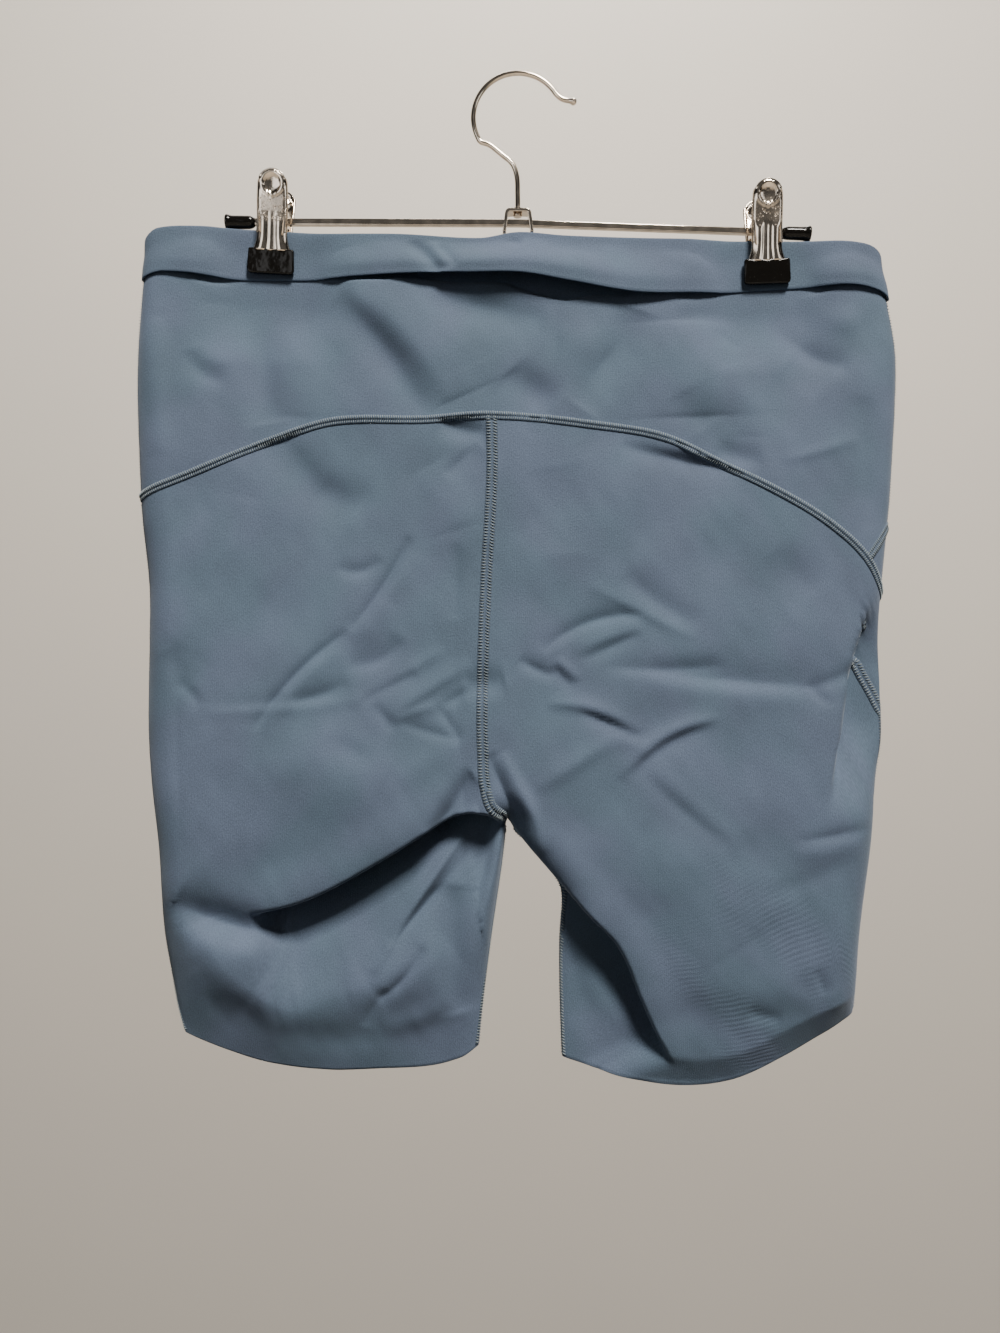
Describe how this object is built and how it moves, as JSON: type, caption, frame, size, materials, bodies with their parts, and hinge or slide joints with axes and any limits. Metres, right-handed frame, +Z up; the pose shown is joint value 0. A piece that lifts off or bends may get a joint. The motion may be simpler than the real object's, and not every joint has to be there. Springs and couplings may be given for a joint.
{
  "type": "running shorts on a clip hanger",
  "caption": "Close-fitting knee-length knit shorts, hung by the folded waist from a metal hanger with a wire hook, a flat bar and rubber-tipped clips.",
  "frame": {"origin": "inside top of the hanger's hook, where a peg bears", "axes": "+Z up, +X across the shorts to the right of someone looking at their back, -Y out of the back of the shorts, +Y towards the wall"},
  "size_m": [0.3939, 0.0334, 0.5234],
  "materials": {
    "cloth": "matt slate-blue stretch knit with a soft sheen",
    "chrome": "bright plated steel, a little worn",
    "rubber": "glossy black dipped rubber"
  },
  "bodies": {
    "root": {"back_yoke": "cloth", "front_yoke": "cloth", "back_leg_left": "cloth", "back_leg_right": "cloth", "front_leg_left": "cloth", "front_leg_right": "cloth", "hanger_hook": "chrome", "hanger_strap": "chrome", "hanger_bar": "chrome", "bar_cap_left": "rubber", "bar_cap_right": "rubber", "clip_left_jaw_near": "chrome", "clip_left_jaw_far": "chrome", "clip_left_tip_near": "rubber", "clip_left_tip_far": "rubber", "clip_left_spring": "chrome", "clip_right_jaw_near": "chrome", "clip_right_jaw_far": "chrome", "clip_right_tip_near": "rubber", "clip_right_tip_far": "rubber", "clip_right_spring": "chrome"}
  },
  "joints": []
}
